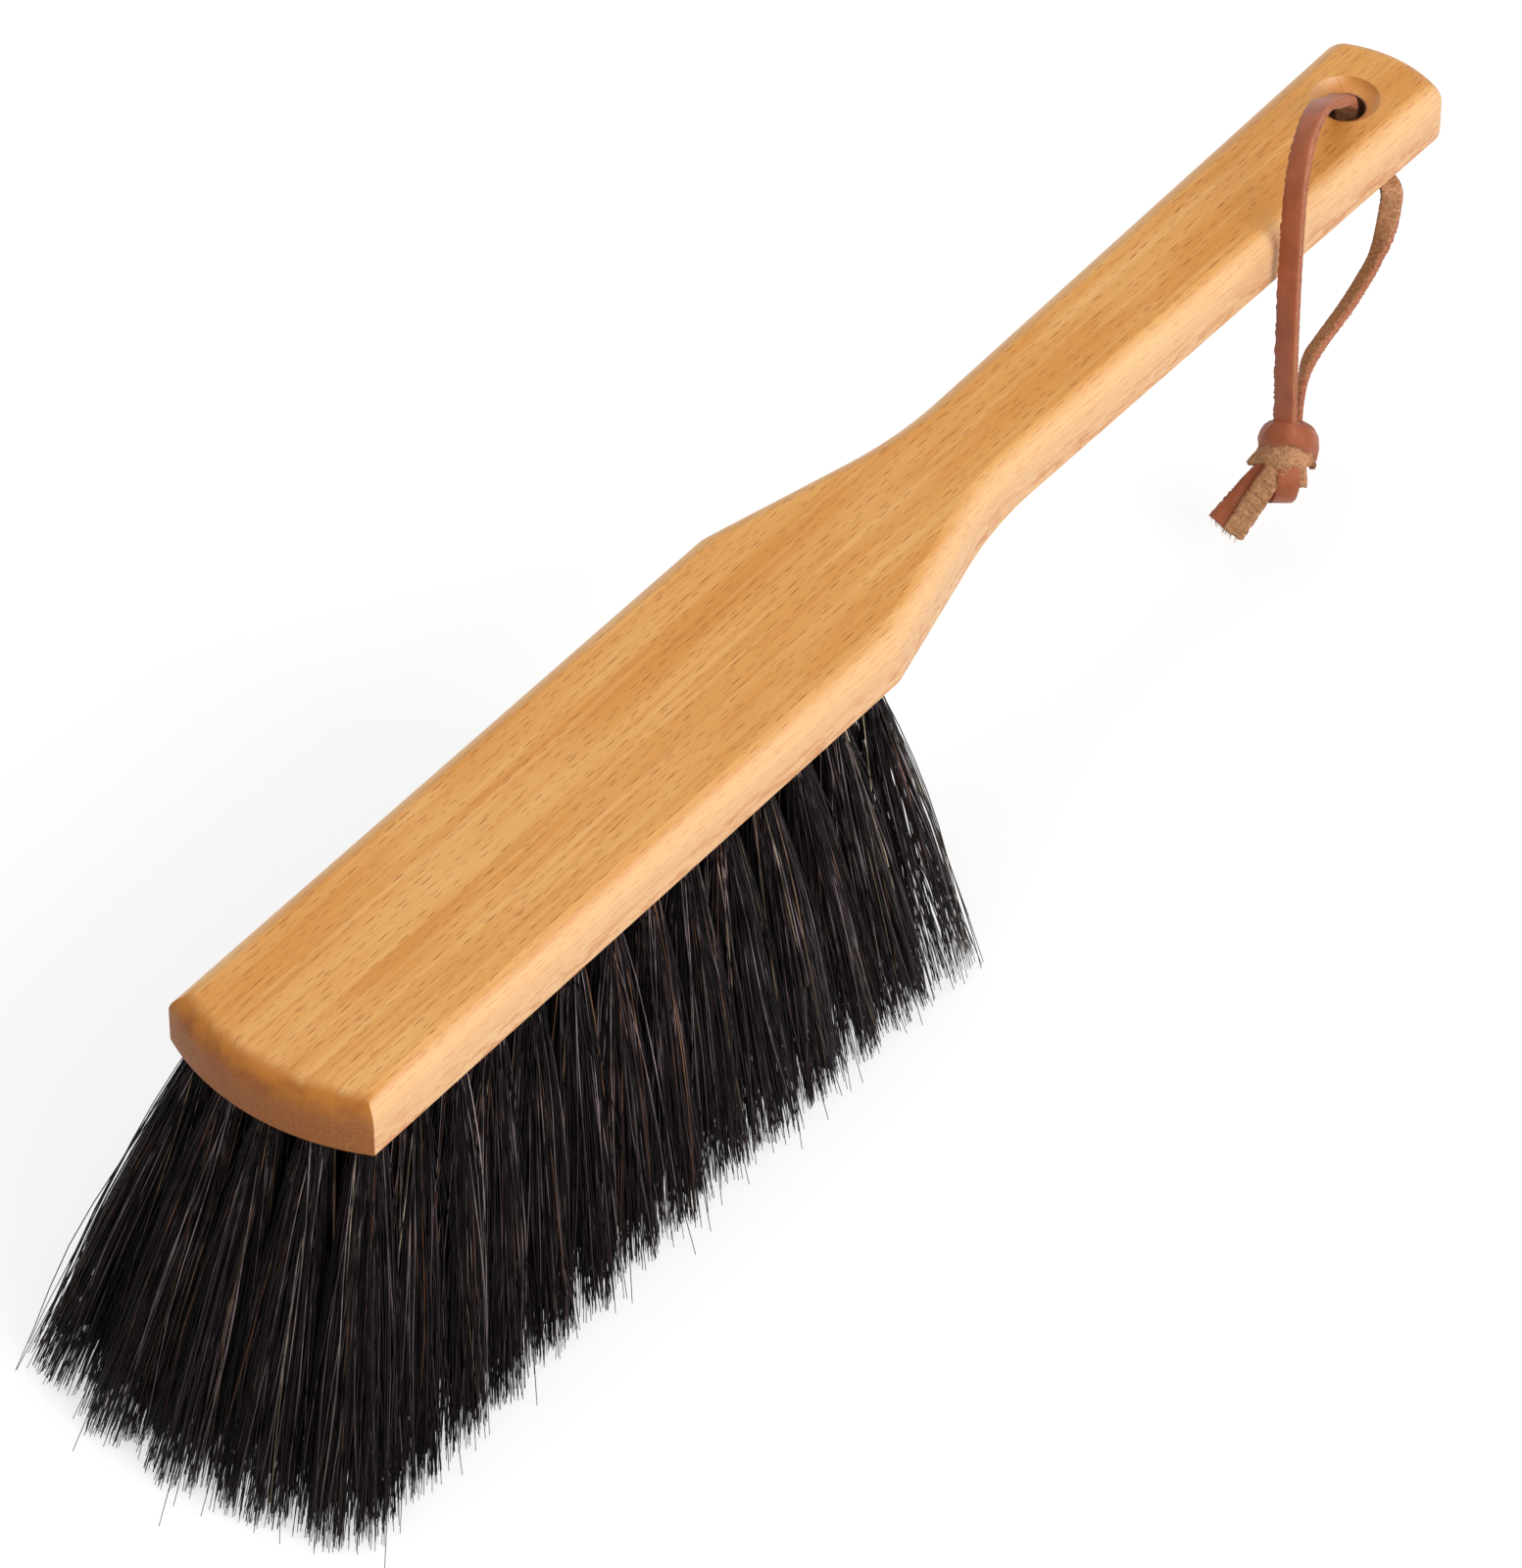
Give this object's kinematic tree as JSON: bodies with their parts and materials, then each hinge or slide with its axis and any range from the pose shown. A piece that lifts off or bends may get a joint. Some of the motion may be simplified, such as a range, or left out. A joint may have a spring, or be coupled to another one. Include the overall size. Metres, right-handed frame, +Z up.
{
  "type": "hand broom",
  "caption": "Hand broom with a one-piece beech back and handle, dark hair tufts set in rows, and a knotted leather hanging strap that swivels in its hole.",
  "frame": {"origin": "centre of the broom's box without its strap, at the level of the trimmed hair tips", "axes": "+X along the handle towards its hanging hole, +Z up out of the wood's top face"},
  "size_m": [0.3682, 0.0752, 0.0989],
  "materials": {
    "oiled_beech": "oiled, satin",
    "anchor_wire": "drawn wire",
    "horsehair": "natural dark hair",
    "strap_leather": "smooth grain, rough back"
  },
  "bodies": {
    "broom": {"handle_block": "oiled_beech", "tuft_anchors": "anchor_wire", "tuft_row_01": "horsehair", "tuft_row_02": "horsehair", "tuft_row_03": "horsehair", "tuft_row_04": "horsehair", "tuft_row_05": "horsehair", "tuft_row_06": "horsehair", "tuft_row_07": "horsehair", "tuft_row_08": "horsehair", "tuft_row_09": "horsehair", "tuft_row_10": "horsehair", "tuft_row_11": "horsehair", "tuft_row_12": "horsehair", "tuft_row_13": "horsehair", "tuft_row_14": "horsehair"},
    "hanging_strap": {"strap_upper": "strap_leather", "strap_lower": "strap_leather", "strap_knot": "strap_leather", "strap_tails": "strap_leather"}
  },
  "joints": [
    {"name": "strap_swivel", "type": "hinge", "parent": "broom", "child": "hanging_strap", "pos_m": [0.16567, 0, 0.074], "axis": [0, 0, 1], "range_deg": [0, 315]}
  ]
}
